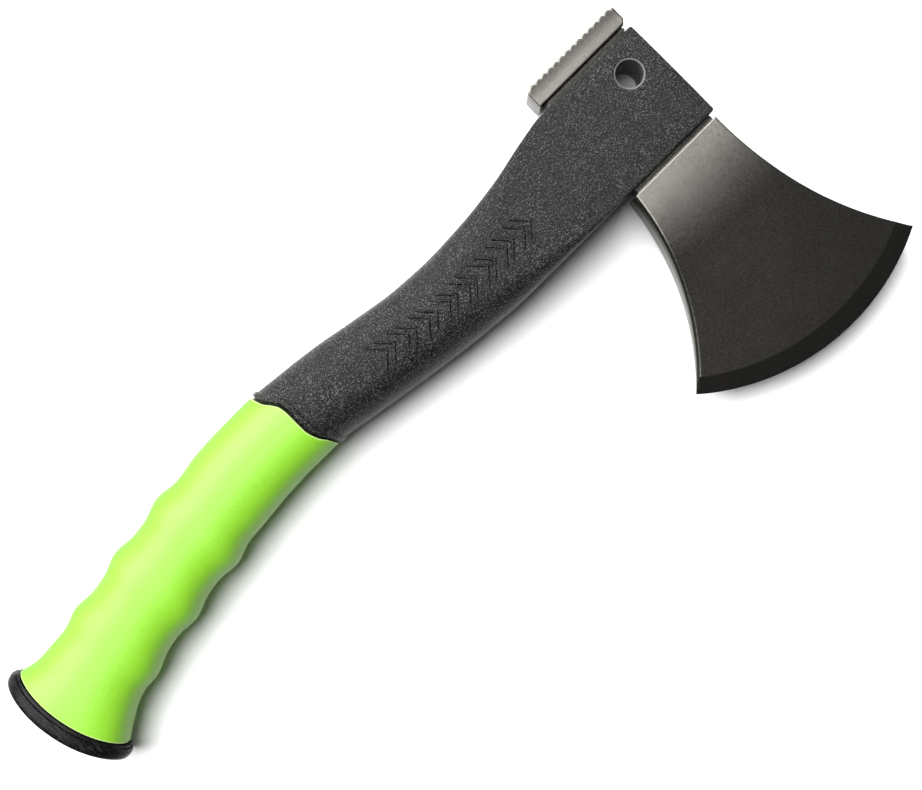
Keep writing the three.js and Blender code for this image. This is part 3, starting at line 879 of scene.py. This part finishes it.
class Shading:
    """A Principled material, with short calls for the nodes that its surface needs."""

    def __init__(self, name, metallic=0.0, specular=0.5):
        self.material = bpy.data.materials.new(name)
        self.material.use_nodes = True
        self.nodes = self.material.node_tree.nodes
        self.links = self.material.node_tree.links
        self.shader = self.nodes["Principled BSDF"]
        self.place = self.nodes.new("ShaderNodeTexCoord").outputs["Object"]
        self.shader.inputs["Metallic"].default_value = metallic
        self.shader.inputs["Specular IOR Level"].default_value = specular

    def join(self, value, socket):
        if isinstance(value, bpy.types.NodeSocket):
            self.links.new(value, socket)
        else:
            socket.default_value = value

    def noise(self, size_mm, detail=2.0, roughness=0.5, stretch=(1, 1, 1), turn=0.0):
        """Noise with features of about that size, stretched along the axes."""
        mapping = self.nodes.new("ShaderNodeMapping")
        mapping.inputs["Rotation"].default_value = (0, 0, turn)
        mapping.inputs["Scale"].default_value = [1 / (size_mm * MM * s) for s in stretch]
        self.links.new(self.place, mapping.inputs["Vector"])
        node = self.nodes.new("ShaderNodeTexNoise")
        node.inputs["Scale"].default_value = 1.0
        node.inputs["Detail"].default_value = detail
        node.inputs["Roughness"].default_value = roughness
        self.links.new(mapping.outputs["Vector"], node.inputs["Vector"])
        return node.outputs["Fac"]

    def clouds(self, size_mm, detail):
        """Broad soft patches, 0 to 1."""
        return self.span(self.noise(size_mm, detail), 0.35, 0.65, 0, 1)

    def span(self, value, low, high, to_low, to_high):
        """value's range low to high turned into to_low to to_high."""
        node = self.nodes.new("ShaderNodeMapRange")
        node.interpolation_type = "SMOOTHSTEP"
        self.join(value, node.inputs["Value"])
        node.inputs["From Min"].default_value = low
        node.inputs["From Max"].default_value = high
        node.inputs["To Min"].default_value = to_low
        node.inputs["To Max"].default_value = to_high
        return node.outputs["Result"]

    def math(self, operation, a, b):
        node = self.nodes.new("ShaderNodeMath")
        node.operation = operation
        self.join(a, node.inputs[0])
        self.join(b, node.inputs[1])
        return node.outputs["Value"]

    def mix(self, factor, low, high):
        """A colour between low and high, each a socket or a tuple."""
        node = self.nodes.new("ShaderNodeMix")
        node.data_type = "RGBA"
        self.join(factor, node.inputs["Factor"])
        colour_inputs, colour_output = (6, 7), 2  # the node's sockets of colour type
        for value, key in zip((low, high), colour_inputs):
            if isinstance(value, tuple):
                value = (*value, 1.0)
            self.join(value, node.inputs[key])
        return node.outputs[colour_output]

    def worn_edges(self, low, high):
        """0 on faces to 1 on outward edges."""
        geometry = self.nodes.new("ShaderNodeNewGeometry")
        return self.span(geometry.outputs["Pointiness"], low, high, 0, 1)

    def from_axis(self, centre):
        """Distance in plan from an upright axis through a point in millimetres."""
        flat = self.nodes.new("ShaderNodeVectorMath")
        flat.operation = "MULTIPLY"
        flat.inputs[1].default_value = (1, 1, 0)
        self.links.new(self.place, flat.inputs[0])
        away = self.nodes.new("ShaderNodeVectorMath")
        away.operation = "DISTANCE"
        self.links.new(flat.outputs["Vector"], away.inputs[0])
        axis = ORIGIN + Vector((*centre, 0)) * MM
        away.inputs[1].default_value = (axis.x, axis.y, 0)
        return away.outputs["Value"]

    def lip_highlight(self):
        """The share of painted highlight that the mesh code wrote on each vertex."""
        node = self.nodes.new("ShaderNodeAttribute")
        node.attribute_name = LIP_HIGHLIGHT
        return node.outputs["Fac"]

    def flank_shade(self):
        """Share of painted shade on the flanks: 0 on faces that look up or down to 1 on upright
        ones.
        """
        split = self.nodes.new("ShaderNodeSeparateXYZ")
        geometry = self.nodes.new("ShaderNodeNewGeometry")
        self.links.new(geometry.outputs["Normal"], split.inputs["Vector"])
        return self.span(self.math("ABSOLUTE", split.outputs["Z"], 0.0), 1.0, 0.3, 0, 1)

    def bump(self, height, depth_mm, strength):
        node = self.nodes.new("ShaderNodeBump")
        node.inputs["Strength"].default_value = strength
        node.inputs["Distance"].default_value = depth_mm * MM
        self.links.new(height, node.inputs["Height"])
        return node.outputs["Normal"]

    def set(self, colour, roughness, normal):
        self.join(colour, self.shader.inputs["Base Color"])
        self.join(roughness, self.shader.inputs["Roughness"])
        self.join(normal, self.shader.inputs["Normal"])
        return self.material


def coated_steel():
    """Dark titanium coat over bead-blasted steel, brighter where its edges are worn."""
    s = Shading("coated_steel", metallic=1.0)
    s.shader.inputs["Specular Tint"].default_value = COAT_GLOSS
    fine = s.noise(0.5, detail=2)
    coat = s.mix(s.clouds(16, detail=3), *COAT)
    coat = s.mix(s.span(fine, 0.3, 0.7, 0, 0.4), coat, COAT_GRAIN)
    colour = s.mix(s.worn_edges(0.53, 0.6), coat, COAT_RUBBED)
    roughness = s.span(fine, 0.3, 0.7, 0.23, 0.27)
    return s.set(colour, roughness, s.bump(fine, depth_mm=0.01, strength=0.4))


def grained_nylon():
    """Black glass-filled nylon with a spark-eroded, pebbled grain, a painted highlight round the
    hang hole's rim and painted shade inside its bore.
    """
    s = Shading("grained_nylon", specular=0.2)
    coarse = s.noise(0.46, detail=1)
    fine = s.noise(0.3, detail=1)
    grain = s.math("ADD", s.math("MULTIPLY", coarse, 0.5), s.math("MULTIPLY", fine, 0.5))
    pebbles = s.mix(s.clouds(7, detail=2), *NYLON_PEBBLES)
    colour = s.mix(s.span(grain, 0.52, 0.62, 0, 1), NYLON_PITS, pebbles)
    reach = s.from_axis(HANG_HOLE)
    bore, wall, rim = ((HANG_HOLE_RADIUS + past) * MM for past in HANG_SHADE_AND_HIGHLIGHT)
    # Painted highlight on the hang hole's rim.
    colour = s.mix(s.span(reach, wall, rim, 1, 0), colour, NYLON_RIM_HIGHLIGHT)
    # Painted shade inside the hang hole's bore.
    colour = s.mix(s.span(reach, bore, wall, 1, 0), colour, NYLON_BORE_SHADE)
    roughness = s.span(grain, 0.4, 0.62, 0.46, 0.26)
    return s.set(colour, roughness, s.bump(grain, depth_mm=0.42, strength=1.0))


def soft_green():
    """Lime thermoplastic rubber with a fine sandy grain, painted shade on its flanks and a
    painted highlight on its lips.
    """
    s = Shading("soft_green", specular=0.5)
    fine = s.noise(0.5, detail=2, roughness=0.6)
    base = s.mix(s.clouds(18, detail=2), *GREEN)
    base = s.mix(s.span(fine, 0.25, 0.75, 0, 1), base, GREEN_GRAIN)
    # Painted shade: the grip's upright flanks are coloured darker.
    colour = s.mix(s.flank_shade(), base, GREEN_FLANK_SHADE)
    # Painted highlight on the grip's rounded lips.
    colour = s.mix(s.lip_highlight(), colour, GREEN_LIP_HIGHLIGHT)
    roughness = s.span(fine, 0.3, 0.7, 0.42, 0.54)
    return s.set(colour, roughness, s.bump(fine, depth_mm=0.07, strength=0.6))


def soft_black():
    """Black rubber with a dull gloss and faint marks of rubbing."""
    s = Shading("soft_black", specular=0.09)
    fine = s.noise(0.5, detail=2)
    rubs = s.noise(2.2, detail=4, stretch=(0.4, 2.5, 1), turn=0.2)
    colour = s.mix(s.span(rubs, 0.5, 0.75, 0, 1), RUBBER, RUBBER_RUBBED)
    colour = s.mix(s.span(fine, 0.5, 0.75, 0, 0.6), colour, RUBBER_GRAIN)
    roughness = s.math("ADD", s.span(fine, 0.3, 0.7, 0.3, 0.42), s.span(rubs, 0.5, 0.7, 0, 0.12))
    return s.set(colour, roughness, s.bump(fine, depth_mm=0.09, strength=0.7))


def table_white():
    """Matt white with a barely visible grain."""
    s = Shading("table_white", specular=0.2)
    fine = s.noise(1.2, detail=2)
    roughness = 0.6
    return s.set(s.mix(fine, *TABLE), roughness, s.bump(fine, depth_mm=0.02, strength=0.1))


# --------------------------------------------------------------------------------- stage

def table():
    """A wide round table top just under the hatchet."""
    radius = TABLE_RADIUS * MM
    centre = (cad_box[0] + cad_box[1]) / 2
    height = cad_box[0].z - TABLE_DROP * MM
    mesh = bpy.data.meshes.new("table")
    rim = []
    for i in range(TABLE_SIDES):
        turn = 2 * math.pi * i / TABLE_SIDES
        place = (radius * math.cos(turn), radius * math.sin(turn))
        rim.append((centre.x + place[0], centre.y + place[1], height))
    mesh.from_pydata(rim, [], [tuple(range(TABLE_SIDES))])
    mesh.materials.append(table_white())
    obj = bpy.data.objects.new("table", mesh)
    bpy.context.scene.collection.objects.link(obj)


def sun(name, tilt, towards, spread, strength):
    """Soft light from a wide source: tilt from the vertical towards a compass direction."""
    lamp = bpy.data.lights.new(name, "SUN")
    lamp.angle = math.radians(spread)
    lamp.energy = strength
    obj = bpy.data.objects.new(name, lamp)
    bpy.context.scene.collection.objects.link(obj)
    up, way = math.radians(tilt), math.radians(towards)
    source = Vector((math.sin(up) * math.cos(way), math.sin(up) * math.sin(way), math.cos(up)))
    obj.rotation_euler = source.to_track_quat("Z", "Y").to_euler()


def studio_world():
    """A white backdrop whose light comes mostly from low down on the poll's side."""
    world = bpy.data.worlds.new("studio")
    world.use_nodes = True
    nodes, links = world.node_tree.nodes, world.node_tree.links
    place = nodes.new("ShaderNodeTexCoord")
    split = nodes.new("ShaderNodeSeparateXYZ")
    links.new(place.outputs["Generated"], split.inputs["Vector"])

    light = nodes.new("ShaderNodeMapRange")
    light.interpolation_type = "SMOOTHSTEP"
    light.inputs["From Min"].default_value = WORLD_BRIGHT_FROM
    light.inputs["To Min"].default_value = WORLD_DIM
    light.inputs["To Max"].default_value = WORLD_BRIGHT
    links.new(split.outputs["Y"], light.inputs["Value"])
    seen = nodes.new("ShaderNodeMix")
    links.new(nodes.new("ShaderNodeLightPath").outputs["Is Camera Ray"], seen.inputs["Factor"])
    links.new(light.outputs["Result"], seen.inputs["A"])
    seen.inputs["B"].default_value = 1.0
    links.new(seen.outputs["Result"], nodes["Background"].inputs["Strength"])
    nodes["Background"].inputs["Color"].default_value = (1, 1, 1, 1)
    bpy.context.scene.world = world


def camera():
    """Straight above the handle, with the hatchet's head to the upper right."""
    data = bpy.data.cameras.new("camera")
    data.sensor_width = CAMERA_SENSOR
    data.lens = CAMERA_LENS
    data.clip_start, data.clip_end = (distance * MM for distance in CAMERA_CLIP)
    obj = bpy.data.objects.new("camera", data)
    obj.location = ORIGIN + Vector((*CAMERA_OVER, CAMERA_HEIGHT)) * MM
    obj.rotation_euler = (0, 0, math.radians(CAMERA_TURN))
    bpy.context.scene.collection.objects.link(obj)
    bpy.context.scene.camera = obj


def main():
    bpy.context.scene.view_settings.view_transform = "Standard"
    camera()
    studio_world()
    sun("key", KEY_TILT, KEY_TOWARDS, KEY_SPREAD, KEY_STRENGTH)
    table()
    head(coated_steel())
    handle_core(grained_nylon())
    grip_sleeve(soft_green())
    butt_cap(soft_black())


main()
